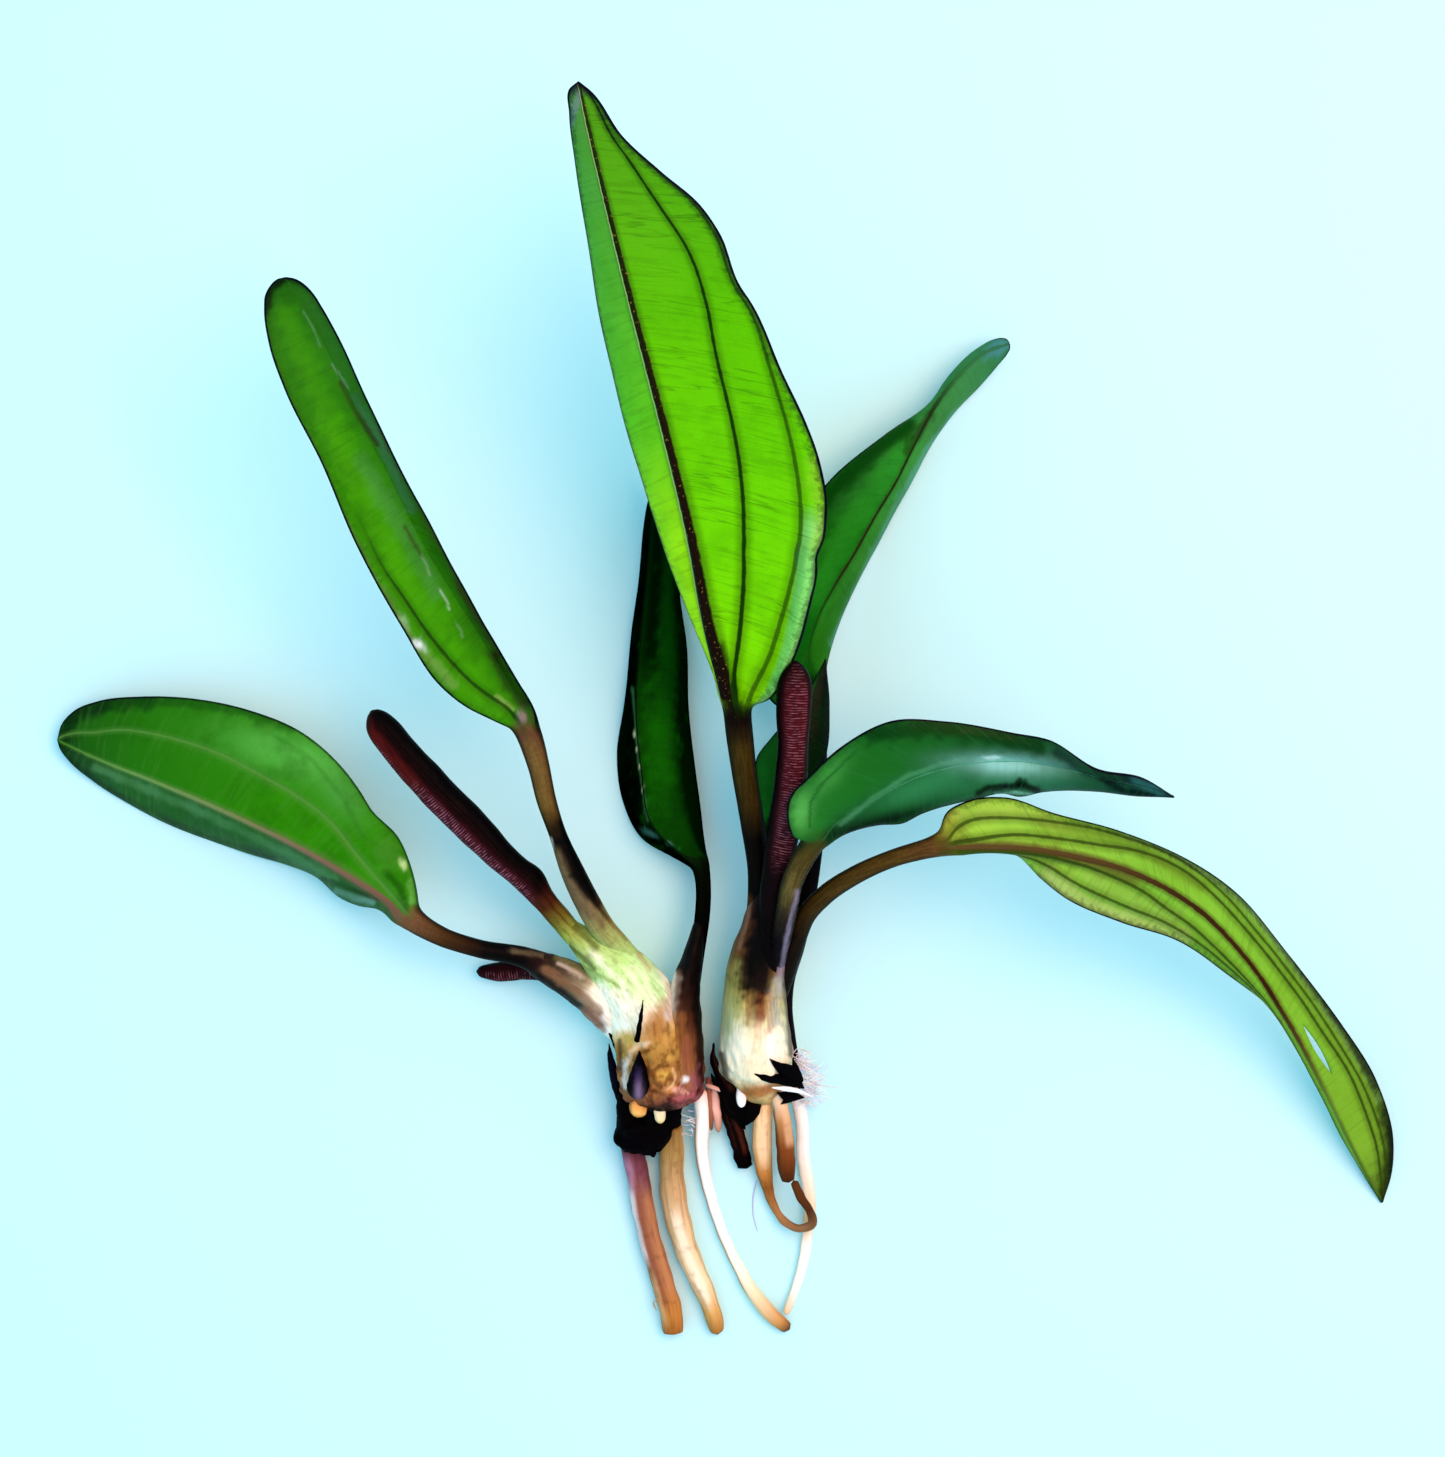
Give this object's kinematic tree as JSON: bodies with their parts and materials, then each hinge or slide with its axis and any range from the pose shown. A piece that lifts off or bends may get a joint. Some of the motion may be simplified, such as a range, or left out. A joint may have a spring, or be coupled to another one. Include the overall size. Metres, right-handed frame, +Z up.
{
  "type": "amazon sword plant",
  "caption": "Bare-rooted amazon sword plant lying on a surface: a rosette of pointed strap leaves and a rolled red spear rising from touching crowns with pale roots.",
  "frame": {"origin": "on the surface the plant lies on, under the middle of its bounding box", "axes": "+Z up from the surface; +X along the longest side, towards the drooping leaf; +Y away from the roots, towards the big leaf's tip"},
  "size_m": [0.1327, 0.1185, 0.0331],
  "materials": {
    "green_leaf": "satin",
    "dark_leaf": "satin",
    "blue_green_leaf": "satin",
    "yellow_green_leaf": "satin",
    "red_leaf": "satin",
    "crown": "satin",
    "tan_root": "satin",
    "white_root": "satin",
    "dead_tissue": "matte"
  },
  "bodies": {
    "root": {"big_leaf": "green_leaf", "upper_left_leaf": "green_leaf", "lower_left_leaf": "green_leaf", "dark_leaf": "dark_leaf", "small_leaf": "dark_leaf", "upper_right_leaf": "blue_green_leaf", "right_leaf": "blue_green_leaf", "drooping_leaf": "yellow_green_leaf", "young_red_leaf": "red_leaf", "tiny_red_leaf": "red_leaf", "spear_leaf": "red_leaf", "left_crown": "crown", "right_crown": "crown", "purple_root": "tan_root", "tan_root": "tan_root", "hooked_root": "tan_root", "short_brown_root": "tan_root", "pink_rootlet": "tan_root", "orange_bud": "tan_root", "long_white_root": "white_root", "cream_root": "white_root", "cream_bud": "white_root", "white_bud": "white_root", "dead_root": "dead_tissue", "dead_stump": "dead_tissue", "left_scale": "dead_tissue", "spike_scale": "dead_tissue", "thin_spine": "dead_tissue", "right_scale": "dead_tissue", "lower_right_scale": "dead_tissue"}
  },
  "joints": []
}
